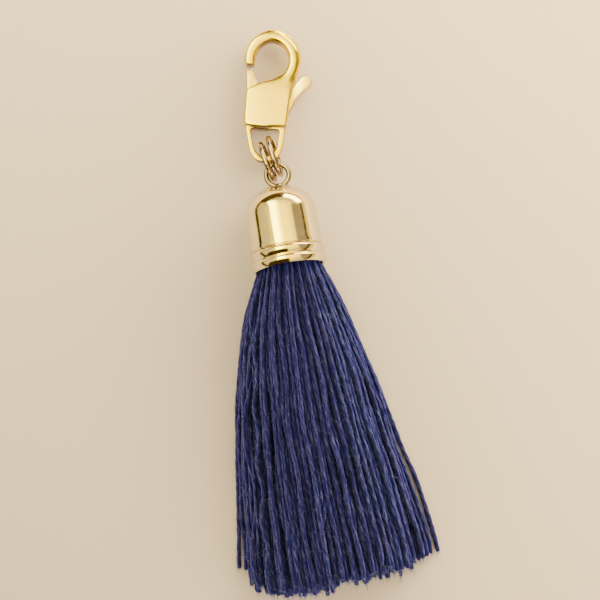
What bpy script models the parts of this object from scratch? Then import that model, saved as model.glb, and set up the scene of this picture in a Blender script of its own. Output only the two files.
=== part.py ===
"""A yarn tassel with a metal bell cap, two jump rings and a small lobster clasp, lying on a table.

Sizes are in millimetres and become metres where a mesh is made. The frame has +Y towards the
clasp, +X across and +Z up from the table. The tassel is set out from the middle of the cap's
mouth, and the clasp from the middle of its housing.
"""

import math

import bmesh
import bpy
import numpy as np
from mathutils import Matrix, Vector

MM = 0.001

# ---- where things lie -------------------------------------------------------------------------
MOUTH = Vector((0.03, 4.78, 4.36))  # middle of the cap's mouth
CAP_PITCH = 2.7  # degrees: the cap lies on its rim's rib, so its crown dips
CLASP = Vector((0.49, 24.09, 0.0))  # middle of the housing, on the table
CLASP_LEAN = 12.95  # degrees: the clasp lies turned towards +X

# ---- yarn skirt -------------------------------------------------------------------------------
HEM_ROWS = (27, 27, 25, 20, 14, 7)  # strands in each row across the hem, from the table up
HEM_PITCH = 0.83  # between strands in a row
ROW_RISE = 0.74  # between rows
HEM_JITTER = 0.05  # how far an end strays sideways
LONGEST = 36.90  # from the cap's mouth to the longest ends
EDGE_SHORTER = 0.023  # an end at x from the middle is shorter by this times x squared
RAGGED = 0.55  # how unevenly the ends are cut
ROOT_SPREAD = 3.20  # radius of the disc that the strands leave the head from
ROOT_DEPTH = 1.4  # how far inside the cap's mouth they leave it
ROOT_SPACING = 0.60  # spacing that the roots push each other to
ROOT_ROUNDS = 200  # how often they push
ROOT_PUSH = 0.2  # share of what two roots lack that one push gives
SEED = 11
# One row for each cross-section of a strand, from its root to its end: the distance from the
# cap's mouth, how far the strand has spread from its root's place to its end's place, how far it
# has come down to its row, in the lowest row and in the top one, how far the whole skirt sways
# sideways, and the strand's side.
SECTIONS = (
    # distance, spread, settle low, settle top, sway, side
    (-ROOT_DEPTH, 0.00, 0.00, 0.00, 0.00, 0.28),
    (0.4, 0.02, 0.03, 0.03, 0.00, 0.28),
    (1.2, 0.13, 0.16, 0.10, 0.00, 0.28),
    (3.0, 0.25, 0.36, 0.24, -0.20, 0.25),
    (7.0, 0.43, 0.70, 0.46, -0.40, 0.28),
    (13.0, 0.60, 1.00, 0.70, -0.45, 0.42),
    (22.0, 0.79, 1.00, 0.90, -0.50, 0.54),
    (LONGEST, 1.00, 1.00, 1.00, 0.00, 0.64),
)
# The head is turned: its radius at each height above the cap's mouth, root plane first.
HEAD = ((3.50, ROOT_DEPTH), (3.50, 2.0), (3.25, 2.7), (3.10, 6.0), (2.40, 7.6), (0.0, 8.4))
HEAD_SIDES = 32

# ---- bell cap and its eye ---------------------------------------------------------------------
WALL = 0.42
BODY_RADIUS = (4.17, 4.03)  # above the ribs, and where the crown begins
BODY_TOP = 6.5
CROWN_RISE = 3.15
CROWN_STEPS = 6
RIB_RADIUS = (4.33, 4.27)  # crests of the rim's rib and of the rib above it
RIB_WIDTH = 1.1
RIB_GROOVE = 0.20  # how far the groove between the ribs lies below their crests
RIB_BULGE = 1.5  # above 1, the crest is broad and the groove is narrow
RIB_STEPS = 4
RIB_FILLET = 0.04  # height of the step from one rib to the next, and to the body
BORE_RADIUS = 3.75
CAP_SIDES = 48
EYE_CENTRE = (0.42, 0.66, 11.09)  # sideways and down from the cap's axis, above its mouth
EYE_RADIUS = 1.29  # to the middle of its wire
EYE_WIRE = 0.56
EYE_SIDES = 20
WIRE_SIDES = 8  # round the wire of the eye and of the rings

# ---- jump rings -------------------------------------------------------------------------------
RING_RADIUS = 2.168  # to the middle of the wire
RING_WIRE = 0.62
RING_LEAN = 8.0  # degrees from upright, towards -X
RING_LIFT = 0.02  # above the table
RING_SIDES = 24
# The middle of each ring, from the cap's mouth, and how far it is turned from the cap's line.
RINGS = (
    # name, x, y, turn
    ("jump_ring_left", -0.42, 12.81, 11.2),
    ("jump_ring_right", 0.48, 13.33, 8.6),
)

# ---- lobster clasp, in its own frame: y towards the hook, x to the thumb lever's side ----------
HOUSING_DEEP = 3.0
HOOK_DEEP = 2.2
LOOP_DEEP = 1.1
EDGE = 0.30  # rounding of the plates' and the hook's edges
EDGE_STEPS = 2
LOOP_EDGE = 0.20
GATE_EDGE = 0.15
SLOT_DEEP = 1.6  # the slot between the two plates, where the gate turns
GATE_DEEP = 1.3
HOOK_OUTER = (0.46, 5.45, 3.20, 3.20)  # centre x, centre y, half width, half height
HOOK_INNER = (0.34, 5.28, 1.93, 2.28)
HOOK_TIP_ANGLE = 196.0  # where the hook ends, on both ellipses
HOOK_ROOT_OUTER = -20.0  # where the outer ellipse runs into the housing's side
HOOK_ROOT_INNER = -40.0  # where the inner one runs into the housing's top
HOOK_POINTS = (17, 15)  # along the outer ellipse and the inner one
# Corners of the housing between the two ends of the hook's ellipses, down the lever's side,
# along the bottom, up the gate's side and along the top.
HOUSING = (
    (3.02, 2.80),
    (2.66, 0.50),
    (2.50, -2.20),
    (2.30, -2.40),
    (1.20, -2.40),
    (-0.10, -2.60),
    (-2.10, -2.48),
    (-2.42, -2.15),
    (-2.37, 1.45),
    (-2.22, 1.82),
    (-1.00, 2.50),
    (0.50, 2.99),
)
# The slot is closed only at the gate's side, along the bottom and at the hook's root.
SLOT = (
    (-2.00, -1.95),
    (4.00, -1.95),
    (4.00, 3.30),
    (3.30, 3.30),
    (2.55, 2.65),
    (1.75, 2.00),
    (0.75, 2.00),
    (0.75, 3.20),
    (-2.90, 3.20),
    (-2.90, 1.40),
    (-2.00, 1.05),
)
LOOP_OUTER = (
    (-2.14, -2.00),
    (-2.14, -2.80),
    (-1.56, -5.20),
    (-1.05, -6.05),
    (-0.35, -6.42),
    (0.60, -6.42),
    (1.42, -6.12),
    (1.94, -5.42),
    (2.24, -4.30),
    (2.34, -2.80),
    (2.34, -2.00),
)
LOOP_HOLE = (
    (-1.56, -3.00),
    (-1.10, -4.80),
    (-0.74, -5.42),
    (-0.15, -5.76),
    (0.60, -5.76),
    (1.20, -5.36),
    (1.54, -4.50),
    (1.66, -3.00),
)
PIVOT = (-0.15, 0.25)
PIN_RADIUS = 0.35
PIN_CLEARANCE = 0.06
PIN_REACH = 0.5  # how far its ends stop below the plates' faces, inside their metal
PIN_SIDES = 16
GATE = (
    (-2.46, 4.05),
    (-2.34, 1.78),
    (-1.50, 0.90),
    (-0.98, 0.05),
    (-0.55, -0.45),
    (0.20, -0.52),
    (1.20, -0.35),
    (2.40, -0.55),
    (2.80, -0.50),
    (3.27, 0.82),
    (3.92, 1.56),
    (4.70, 2.19),
    (5.07, 2.70),
    (5.02, 3.12),
    (4.70, 3.46),
    (4.23, 3.56),
    (3.74, 3.36),
    (3.38, 2.85),
    (2.75, 2.20),
    (1.90, 1.50),
    (0.60, 0.98),
    (-0.45, 1.38),
    (-1.02, 2.50),
    (-1.85, 4.21),
)


# ---- shared modelling steps -------------------------------------------------------------------
def clear_scene():
    for old in list(bpy.data.objects):
        bpy.data.objects.remove(old, do_unlink=True)


def finish_material(name, colour, metallic, roughness):
    material = bpy.data.materials.new(name)
    material.use_nodes = True
    shader = material.node_tree.nodes["Principled BSDF"]
    shader.inputs["Base Color"].default_value = (*colour, 1.0)
    shader.inputs["Metallic"].default_value = metallic
    shader.inputs["Roughness"].default_value = roughness
    return material


def add_object(name, bm, place, material=None, smooth_angle=35.0):
    """Turn a mesh in millimetres into an object that stands at its place, in metres."""
    bmesh.ops.recalc_face_normals(bm, faces=bm.faces)
    bmesh.ops.scale(bm, vec=(MM, MM, MM), verts=bm.verts)
    mesh = bpy.data.meshes.new(name)
    bm.to_mesh(mesh)
    bm.free()
    mesh.shade_smooth()
    mesh.set_sharp_from_angle(angle=math.radians(smooth_angle))
    thing = bpy.data.objects.new(name, mesh)
    thing.matrix_world = place
    if material:
        mesh.materials.append(material)
    bpy.context.scene.collection.objects.link(thing)
    return thing


def hide_tool(thing):
    """A cutter or a piece that is only joined to another one isn't a piece of its own."""
    thing.hide_render = True
    thing.display_type = "WIRE"
    return thing


def combine(target, tool, operation):
    step = target.modifiers.new(tool.name, "BOOLEAN")
    step.operation = operation
    step.solver = "EXACT"
    step.object = hide_tool(tool)


def turned(profile, sides):
    """Spin a profile of (radius, height) round Z. Points on the axis close the shape."""
    bm = bmesh.new()
    points = [bm.verts.new((radius, 0.0, height)) for radius, height in profile]
    edges = [bm.edges.new(pair) for pair in zip(points, points[1:])]
    bmesh.ops.spin(
        bm,
        geom=points + edges,
        axis=(0, 0, 1),
        cent=(0, 0, 0),
        angle=math.tau,
        steps=sides,
        use_merge=True,
    )
    bmesh.ops.remove_doubles(bm, verts=bm.verts, dist=1e-4)
    return bm


def wire_ring(radius, wire, around, section):
    """A round wire bent into a ring in the XY plane."""
    bm = bmesh.new()
    circle = bmesh.ops.create_circle(
        bm, segments=section, radius=wire / 2, matrix=Matrix.Rotation(math.pi / 2, 4, "X")
    )
    bmesh.ops.rotate(
        bm, verts=circle["verts"], cent=(0, 0, 0), matrix=Matrix.Rotation(math.pi / section, 3, "Y")
    )
    bmesh.ops.translate(bm, verts=circle["verts"], vec=(radius, 0, 0))
    bmesh.ops.spin(
        bm,
        geom=bm.verts[:] + bm.edges[:],
        axis=(0, 0, 1),
        cent=(0, 0, 0),
        angle=math.tau,
        steps=around,
        use_merge=True,
    )
    bmesh.ops.remove_doubles(bm, verts=bm.verts, dist=1e-4)
    return bm


def plate(outline, deep, rounding=0.0, steps=1):
    """A flat outline raised to a depth, with its long edges rounded."""
    bm = bmesh.new()
    base = bm.faces.new([bm.verts.new((x, y, 0.0)) for x, y in outline])
    raised = bmesh.ops.extrude_face_region(bm, geom=[base])
    top = [part for part in raised["geom"] if isinstance(part, bmesh.types.BMVert)]
    bmesh.ops.translate(bm, verts=top, vec=(0, 0, deep))
    if rounding:
        bm.normal_update()
        rims = [edge for edge in bm.edges if abs(edge.verts[0].co.z - edge.verts[1].co.z) < 1e-6]
        bmesh.ops.bevel(
            bm, geom=rims, offset=rounding, segments=steps, profile=0.5, affect="EDGES"
        )
    return bm


def ellipse_arc(ellipse, start, end, count):
    """Points along an ellipse of (centre x, centre y, half width, half height), in degrees."""
    x, y, wide, high = ellipse
    turns = [math.radians(start + (end - start) * i / (count - 1)) for i in range(count)]
    return [(x + wide * math.cos(turn), y + high * math.sin(turn)) for turn in turns]


def placed(offset, *turns):
    """A place in metres: turns are (degrees, axis), the last one made first."""
    matrix = Matrix.Translation(Vector(offset) * MM)
    for degrees, axis in turns:
        matrix = matrix @ Matrix.Rotation(math.radians(degrees), 4, axis)
    return matrix


def cap_place():
    """The cap's own frame: its mouth at the origin and its crown up +Z."""
    return placed(MOUTH, (-90.0 - CAP_PITCH, "X"))


# ---- yarn skirt -------------------------------------------------------------------------------
def root_places(count):
    """Even places across the head's disc: a sunflower pattern whose points push apart."""
    golden_angle = math.pi * (3 - math.sqrt(5))
    index = np.arange(count)
    turn = golden_angle * index
    reach = ROOT_SPREAD * np.sqrt((index + 0.5) / count)
    places = np.stack([reach * np.cos(turn), reach * np.sin(turn)], axis=1)
    for _ in range(ROOT_ROUNDS):
        apart = places[:, None] - places[None]
        distance = np.linalg.norm(apart, axis=2) + np.eye(count)
        push = np.clip(ROOT_SPACING - distance, 0, None) / distance
        places += ROOT_PUSH * (apart * push[..., None]).sum(axis=1)
        radius = np.linalg.norm(places, axis=1, keepdims=True)
        places *= np.minimum(1.0, ROOT_SPREAD / radius)
    return places


def hem_places(rng):
    """Where the strands end: (across, row), in rows that lie on each other."""
    places = []
    for row, count in enumerate(HEM_ROWS):
        for i in range(count):
            across = (i - (count - 1) / 2) * HEM_PITCH + rng.uniform(-HEM_JITTER, HEM_JITTER)
            places.append((across, row))
    return places


def strand_routes():
    """The middle and the side of every strand at each section, from its root to its end.

    The lowest roots go to the lowest row of the hem, in their order across, so no two cross.
    """
    rng = np.random.default_rng(SEED)
    hem = hem_places(rng)
    roots = root_places(len(hem))
    by_height = sorted(range(len(hem)), key=lambda i: roots[i][1])
    routes = []
    first = 0
    for count in HEM_ROWS:
        row = sorted(by_height[first : first + count], key=lambda i: roots[i][0])
        for root, end in zip(row, hem[first : first + count]):
            length = LONGEST - EDGE_SHORTER * end[0] ** 2 - rng.uniform(0, 2 * RAGGED)
            routes.append(strand_route(roots[root], end, length))
        first += count
    return routes


def strand_route(root, end, length):
    route = []
    root_height = MOUTH.z + root[1] - SECTIONS[0][-1] / 2
    stack = end[1] / (len(HEM_ROWS) - 1)
    for distance, spread, settle_low, settle_top, sway, side in SECTIONS:
        across = root[0] * (1 - spread) + end[0] * spread + sway
        settle = settle_low * (1 - stack) + settle_top * stack
        height = root_height * (1 - settle) + end[1] * ROW_RISE * settle + side / 2
        along = min(distance, length)
        route.append((Vector((MOUTH.x + across, MOUTH.y - along, height)), side))
    return route


def square_loop(bm, middle, side, right, up):
    """Four corners round a point, lying flat in the plane of right and up."""
    half = side / 2
    corners = ((-half, -half), (half, -half), (half, half), (-half, half))
    return [bm.verts.new(middle + right * x + up * y) for x, y in corners]


def bridge(bm, loop, next_loop):
    for i in range(len(loop)):
        j = (i + 1) % len(loop)
        bm.faces.new((loop[i], loop[j], next_loop[j], next_loop[i]))


def loop_edges(bm, loop):
    """The edges round a loop of points, new ones where there are none yet."""
    pairs = zip(loop, loop[1:] + loop[:1])
    return [bm.edges.get(pair) or bm.edges.new(pair) for pair in pairs]


def head_surface(bm, right, up, axis):
    """The turned head, open below. Returns the loop round its lower face."""
    turns = [math.tau * i / HEAD_SIDES for i in range(HEAD_SIDES)]
    spokes = [right * math.cos(turn) + up * math.sin(turn) for turn in turns]
    rings = [
        [bm.verts.new(MOUTH + axis * height + spoke * radius) for spoke in spokes]
        for radius, height in HEAD[:-1]
    ]
    for ring, next_ring in zip(rings, rings[1:]):
        bridge(bm, ring, next_ring)
    apex = bm.verts.new(MOUTH + axis * HEAD[-1][1])
    for edge in loop_edges(bm, rings[-1]):
        bm.faces.new((*edge.verts, apex))
    return rings[0]


def build_skirt(material):
    """Square strands that all leave one turned head. The head's lower face is filled round them."""
    cap_turn = cap_place().to_3x3()
    right, up, axis = cap_turn.col[0], -cap_turn.col[1], cap_turn.col[2]
    bm = bmesh.new()
    root_edges = []
    for route in strand_routes():
        (start, side), rest = route[0], route[1:]
        from_mouth = start - MOUTH
        on_plane = MOUTH + right * from_mouth.x + up * from_mouth.z + axis * ROOT_DEPTH
        loop = square_loop(bm, on_plane, side, right, up)
        root_edges += loop_edges(bm, loop)
        for middle, side in rest:
            next_loop = square_loop(bm, middle, side, Vector((1, 0, 0)), Vector((0, 0, 1)))
            bridge(bm, loop, next_loop)
            loop = next_loop
        bm.faces.new(loop)
    rim_edges = loop_edges(bm, head_surface(bm, right, up, axis))
    bmesh.ops.triangle_fill(bm, edges=rim_edges + root_edges, use_beauty=True, normal=axis)
    add_object("yarn_skirt", bm, Matrix.Identity(4), material)


# ---- bell cap ---------------------------------------------------------------------------------
def rib_profile(crest, low):
    """Half a round rib in profile, from its lower edge to its upper one."""
    steps = [i / RIB_STEPS for i in range(RIB_STEPS + 1)]
    return [
        (crest - RIB_GROOVE * (1 - math.sin(math.pi * step)) ** RIB_BULGE, low + RIB_WIDTH * step)
        for step in steps
    ]


def cap_profile():
    """The wall in section: from the crown's inside, down to the lip, and up the outside."""
    quarter = [math.radians(90 * i / CROWN_STEPS) for i in range(CROWN_STEPS + 1)]
    inner_radius = BODY_RADIUS[1] - WALL
    inner = [
        (inner_radius * math.sin(turn), BODY_TOP + (CROWN_RISE - WALL) * math.cos(turn))
        for turn in quarter
    ]
    inner.append((BORE_RADIUS, 0.0))
    ribs = []
    for i, crest in enumerate(RIB_RADIUS):
        ribs += rib_profile(crest, i * (RIB_WIDTH + RIB_FILLET))
    crown = [
        (BODY_RADIUS[1] * math.sin(turn), BODY_TOP + CROWN_RISE * math.cos(turn))
        for turn in reversed(quarter)
    ]
    body_foot = (BODY_RADIUS[0], len(RIB_RADIUS) * (RIB_WIDTH + RIB_FILLET))
    return inner + ribs + [body_foot] + crown


def build_cap(material):
    """The bell lies on its rim with one flat of its rim's rib down. The eye is soldered on."""
    bell = turned(cap_profile(), CAP_SIDES)
    bmesh.ops.rotate(
        bell,
        verts=bell.verts,
        cent=(0, 0, 0),
        matrix=Matrix.Rotation(math.pi / CAP_SIDES, 3, "Z"),
    )
    cap = add_object("bell_cap", bell, cap_place(), material)
    eye = wire_ring(EYE_RADIUS, EYE_WIRE, EYE_SIDES, WIRE_SIDES)
    flat_in_cap = placed(EYE_CENTRE, (90, "X"))
    combine(cap, add_object("cap_eye", eye, cap_place() @ flat_in_cap), "UNION")


# ---- jump rings -------------------------------------------------------------------------------
def build_rings(material):
    lift = RING_RADIUS * math.cos(math.radians(RING_LEAN)) + RING_WIRE / 2 + RING_LIFT
    for name, x, y, turn in RINGS:
        middle = (MOUTH.x + x, MOUTH.y + y, lift)
        place = placed(middle, (turn, "Z"), (-RING_LEAN, "Y"), (90.0, "Y"))
        ring = wire_ring(RING_RADIUS, RING_WIRE, RING_SIDES, WIRE_SIDES)
        add_object(name, ring, place, material, 60.0)


# ---- clasp ------------------------------------------------------------------------------------
def clasp_place(lift=0.0, at=(0.0, 0.0)):
    """The clasp's own frame, or the same frame moved to a point and a height in it."""
    return placed(CLASP, (-CLASP_LEAN, "Z")) @ Matrix.Translation(Vector((*at, lift)) * MM)


def middle_lift(deep):
    """How high a layer lies that is centred in the housing's thickness."""
    return (HOUSING_DEEP - deep) / 2


def build_clasp(material):
    """The hook and the housing are one casting: the plates are thicker than the hook."""
    outer_points, inner_points = HOOK_POINTS
    outer = ellipse_arc(HOOK_OUTER, HOOK_TIP_ANGLE, HOOK_ROOT_OUTER, outer_points)
    inner = ellipse_arc(HOOK_INNER, HOOK_ROOT_INNER, HOOK_TIP_ANGLE, inner_points)
    hook = plate(outer + list(HOUSING) + inner, HOOK_DEEP, EDGE, EDGE_STEPS)
    body = add_object("clasp_body", hook, clasp_place(middle_lift(HOOK_DEEP)), material)
    plates = plate(HOUSING, HOUSING_DEEP, EDGE, EDGE_STEPS)
    combine(body, add_object("housing_plates", plates, clasp_place()), "UNION")
    slot = plate(SLOT, SLOT_DEEP)
    slot_place = clasp_place(middle_lift(SLOT_DEEP))
    combine(body, add_object("gate_slot", slot, slot_place), "DIFFERENCE")
    loop = plate(LOOP_OUTER, LOOP_DEEP, LOOP_EDGE)
    loop = add_object("base_loop", loop, clasp_place(middle_lift(LOOP_DEEP)))
    hole_deep = 2 * LOOP_DEEP
    hole = plate(LOOP_HOLE, hole_deep)
    hole = add_object("loop_hole", hole, clasp_place(middle_lift(hole_deep)))
    combine(loop, hole, "DIFFERENCE")
    combine(body, loop, "UNION")
    pin = cylinder(PIN_RADIUS, HOUSING_DEEP - 2 * PIN_REACH)
    combine(body, add_object("pin", pin, clasp_place(PIN_REACH, PIVOT)), "UNION")


def cylinder(radius, height):
    return turned(((0.0, 0.0), (radius, 0.0), (radius, height), (0.0, height)), PIN_SIDES)


def build_gate(material):
    """The nose, the hub and the thumb lever are one flat piece that turns about the pin."""
    outline = [(x - PIVOT[0], y - PIVOT[1]) for x, y in GATE]
    gate = plate(outline, GATE_DEEP, GATE_EDGE)
    gate = add_object("clasp_gate", gate, clasp_place(middle_lift(GATE_DEEP), PIVOT), material)
    bore = cylinder(PIN_RADIUS + PIN_CLEARANCE, HOUSING_DEEP)
    combine(gate, add_object("gate_bore", bore, clasp_place(0.0, PIVOT)), "DIFFERENCE")


def main():
    clear_scene()
    gold = (0.83, 0.72, 0.45)
    build_skirt(finish_material("navy_yarn", (0.035, 0.045, 0.20), 0.0, 0.85))
    build_cap(finish_material("cap_gold", gold, 1.0, 0.18))
    build_rings(finish_material("ring_gold", (0.78, 0.64, 0.45), 1.0, 0.25))
    build_clasp(finish_material("clasp_gold", gold, 1.0, 0.22))
    build_gate(finish_material("gate_gold", gold, 1.0, 0.25))


main()
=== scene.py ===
"""The looks of a yarn tassel that hangs from a lobster clasp and lies on a pale table.

Lengths are in millimetres and become metres where a mesh is made. +Y runs from the skirt's hem to
the clasp and +Z up from the table. The sections follow the tassel as it is put together.
"""

import math

import bpy
import numpy as np
from mathutils import Matrix, Vector


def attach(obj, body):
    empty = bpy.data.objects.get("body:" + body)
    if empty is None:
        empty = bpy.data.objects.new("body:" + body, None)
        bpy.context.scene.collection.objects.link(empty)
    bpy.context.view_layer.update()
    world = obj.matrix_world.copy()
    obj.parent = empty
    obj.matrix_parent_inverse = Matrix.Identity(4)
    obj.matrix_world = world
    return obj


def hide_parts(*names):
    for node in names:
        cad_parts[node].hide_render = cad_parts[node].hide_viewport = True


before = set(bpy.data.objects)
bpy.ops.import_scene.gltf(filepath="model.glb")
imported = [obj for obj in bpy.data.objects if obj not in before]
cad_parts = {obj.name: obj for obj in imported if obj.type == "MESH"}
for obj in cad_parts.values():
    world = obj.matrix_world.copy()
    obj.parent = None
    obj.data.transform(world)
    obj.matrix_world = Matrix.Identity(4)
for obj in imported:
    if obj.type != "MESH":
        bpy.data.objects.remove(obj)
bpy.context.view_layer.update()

# ---- yarn skirt ------------------------------------------
# The skirt is a hank of navy spun yarn, each yarn three plies twisted together. Its upper end is
# knotted and glued inside the cap, and its lower end is cut by hand, so the yarns end unevenly.
# It lies on the table, where its own weight has spread it into a low fan.
MM = 0.001
MOUTH = Vector((0.03, 4.78, 4.36))  # middle of the cap's mouth
YARNS = 228
YARN_WIDE = 0.54  # thickness of a yarn that lies free
YARN_SQUEEZED = 0.43  # and of one that is pressed together in the cap
FREE_FROM = -1.0  # just inside the mouth, where the yarns begin to swell and to drop
FREE_AFTER = 9.0  # from the mouth to where the yarns lie free
MOUTH_REACH = 3.42  # radius of the yarn bundle in the mouth
INSIDE_CAP = 1.6  # how far the yarns run on into the cap
SECTION_STEP = 0.6  # between the cross-sections in which the yarns settle
LAST_SECTION = 39.2  # past the longest yarn's end
DROP_LENGTH = 14.0  # from the mouth to where the whole bundle lies on the table
PACKING = 0.66  # share of the pile's cross-section that is yarn
TOP_FIRST = 0.74  # below 1, the yarns lie closer together towards the top of the pile
WANDER = (0.17, 0.07)  # how far a yarn strays sideways and up
WANDER_RANGE = (0.3, 1.7)  # each yarn's own, as shares of that
WANDER_LENGTH = (6.0, 17.0)  # the shortest and the longest wave in which it strays
WANDER_AFTER = 8.0  # from the mouth to where it strays in full
STRAYS = 0.12  # share of the yarns that stray further
STRAY_TIMES = 3.0  # and how many times as far
SKIRT_SEED = 5

# Half the skirt's width and the middle of it, at distances from the mouth.
SKIRT_EDGE = (
    # distance, half width, middle
    (-2.0, 3.42, 0.03), (0.0, 3.80, 0.12), (1.5, 4.62, -0.08), (4.7, 5.76, -0.30),
    (8.5, 6.95, -0.34), (13.4, 8.05, -0.36), (19.2, 9.05, -0.36), (24.7, 9.85, -0.20),
    (29.1, 10.50, -0.05), (32.2, 10.90, 0.00), (39.0, 11.20, 0.05),
)
# Where the yarns are cut: the distance from the mouth, across the skirt.
HEM_CUT = (
    # across, distance
    (-11.4, 30.9), (-10.6, 32.2), (-9.4, 34.2), (-8.0, 35.2), (-4.4, 35.7), (-1.1, 35.9),
    (-0.3, 35.1), (2.9, 35.3), (6.7, 35.0), (8.7, 34.3), (10.6, 33.7), (11.5, 33.0),
)
HEM_RAGGED = 0.6  # how unevenly the ends lie along the cut
HEM_SCATTER = 0.7  # the ends' spread, as a share of that, and their limits
HEM_LIMITS = (-1.6, 1.3)
HEM_SECTION = -4  # the section that lies at the cut
# Two yarns that have come away from the skirt's edges and lie beside it on the table.
LOOSE_YARNS = (
    # (across, distance) from inside the cap to the cut end
    ((2.9, -1.6), (3.7, 0.5), (5.4, 4.7), (7.6, 13.4), (9.2, 21.6), (10.20, 25.1), (10.85, 29.8),
     (11.30, 33.7)),
    ((-2.9, -1.6), (-3.8, 0.5), (-6.0, 4.7), (-8.3, 13.4), (-9.4, 20.6), (-10.15, 26.1),
     (-10.72, 29.6), (-11.15, 31.9)),
)
LOOSE_FROM = -0.5  # distance from the mouth at which these begin to drop
LOOSE_ROUNDS = 6  # in which their bends are drawn smooth


def smooth_step(low, high, value):
    share = np.clip((value - low) / (high - low), 0.0, 1.0)
    return share * share * (3.0 - 2.0 * share)


def yarn_thickness(distance):
    """A yarn is squeezed in the cap and swells to its own thickness once it lies free."""
    free = smooth_step(FREE_FROM, FREE_AFTER, distance)
    return YARN_SQUEEZED + (YARN_WIDE - YARN_SQUEEZED) * free


def sunflower(count):
    """Even places in a disc of radius 1."""
    index = np.arange(count)
    turn = math.pi * (3.0 - math.sqrt(5.0)) * index
    reach = np.sqrt((index + 0.5) / count)
    return reach * np.cos(turn), reach * np.sin(turn)


def laid_out_yarns(rng):
    """Every yarn's middle in every section, as (section, yarn, across and up), before settling."""
    distance = np.arange(-INSIDE_CAP, LAST_SECTION, SECTION_STEP)
    edge = np.array(SKIRT_EDGE)
    half_width = np.interp(distance, edge[:, 0], edge[:, 1])[:, None]
    middle = np.interp(distance, edge[:, 0], edge[:, 2])[:, None]
    thick = yarn_thickness(distance)[:, None]
    across, up = sunflower(YARNS)
    chord = np.sqrt(1.0 - across**2)
    level = ((up / chord + 1.0) / 2.0) ** TOP_FIRST
    section_area = YARNS * math.pi / 4.0 * thick**2 / PACKING
    pile_height = section_area / (half_width * math.pi / 2.0)
    x = middle + (half_width - thick / 2.0) * across
    in_mouth = MOUTH.z + MOUTH_REACH * up
    on_table = thick / 2.0 + (pile_height * chord - thick / 2.0) * level
    dropped = smooth_step(FREE_FROM, DROP_LENGTH, distance)[:, None]
    z = in_mouth * (1.0 - dropped) + on_table * dropped
    loose = smooth_step(0.0, WANDER_AFTER, distance)[:, None]
    far = np.where(rng.uniform(size=YARNS) < STRAYS, STRAY_TIMES, 1.0)
    for axis, places in enumerate((x, z)):
        length = rng.uniform(*WANDER_LENGTH, YARNS)
        start = rng.uniform(0.0, math.tau, YARNS)
        sway = np.sin(math.tau * distance[:, None] / length + start)
        places += loose * WANDER[axis] * far * sway * rng.uniform(*WANDER_RANGE, YARNS)
    return distance, np.stack([x, z], axis=2)


SETTLE_ROUNDS = 70
TOUCHING = 0.97  # share of a thickness at which two yarns begin to press each other apart
PUSH = 0.30  # share of the overlap that one round takes away
HOLD = 0.03  # share of the way back to its first place that a yarn moves in one round
SINK = 0.004  # how far it sinks in one round
STRAIGHTEN = 0.2  # how strongly its bends are drawn straight in one round
MOUTH_SECTIONS = 0.3  # up to here the cap still holds the bundle in
OUT_OF_REACH = 9.0  # a distance at which yarns neither push nor shade each other


def ease(line, share=0.25):
    """Draws each place in a line towards the two beside it. The ends stay."""
    line[1:-1] = (1.0 - 2.0 * share) * line[1:-1] + share * (line[:-2] + line[2:])


def settle(distance, places):
    """Yarns push each other apart until they lie side by side, and sink until they rest."""
    thick = yarn_thickness(distance)[:, None]
    aim = places.copy()
    held = distance < MOUTH_SECTIONS
    for _ in range(SETTLE_ROUNDS):
        apart = places[:, :, None] - places[:, None]
        gap = np.linalg.norm(apart, axis=3) + np.eye(YARNS) * OUT_OF_REACH
        push = np.clip(thick[..., None] * TOUCHING - gap, 0.0, None) / gap
        places += PUSH * (apart * push[..., None]).sum(axis=2)
        places += HOLD * (aim - places) - (0.0, SINK)
        ease(places, STRAIGHTEN)
        places[..., 1] = np.maximum(places[..., 1], thick / 2.0)
        from_middle = places[held] - (MOUTH.x, MOUTH.z)
        reach = np.linalg.norm(from_middle, axis=2, keepdims=True)
        places[held] = from_middle * np.minimum(1.0, MOUTH_REACH / reach) + (MOUTH.x, MOUTH.z)
    return places


def loose_yarn(distance, route):
    """A yarn's middle in every section, by the places that it lies in, and its cut end."""
    route = np.array(route)
    x = np.interp(distance, route[:, 1], route[:, 0])
    for _ in range(LOOSE_ROUNDS):
        ease(x)
    dropped = smooth_step(LOOSE_FROM, FREE_AFTER, distance)
    z = MOUTH.z * (1.0 - dropped) + yarn_thickness(distance) / 2.0 * dropped
    return np.stack([x, z], axis=1), route[-1, 1]


def yarn_routes(rng):
    """All the yarns' middles in every section, and how far from the mouth each is cut."""
    distance, places = laid_out_yarns(rng)
    places = settle(distance, places)
    cut = np.array(HEM_CUT)
    ends = np.interp(places[HEM_SECTION, :, 0], cut[:, 0], cut[:, 1])
    ends += HEM_RAGGED * np.clip(rng.normal(0.0, HEM_SCATTER, YARNS), *HEM_LIMITS)
    for route in LOOSE_YARNS:
        lain, end = loose_yarn(distance, route)
        places = np.concatenate([places, lain[:, None]], axis=1)
        ends = np.append(ends, end)
    return distance, places, ends


LIP_LIGHT = 0.20  # share of the light that reaches a yarn right under the cap's lip
END_LIGHT = 0.45  # and at its cut end, as painted shade
SHADE_LENGTH = 0.8  # of either shade along the yarn
GAP_LIGHT = (-0.10, 0.24)  # distances to the next yarn: no light between the two, and all of it
COVER_WIDTH = 2.2  # how far aside a yarn covers those below it, in radii
COVER_HEIGHT = 2.4  # and how far above them it covers them in full
COVER_COUNT = (0.3, 1.5)  # how many yarns above begin to shade, and shade in full
COVER_SHADE = 0.75


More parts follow.
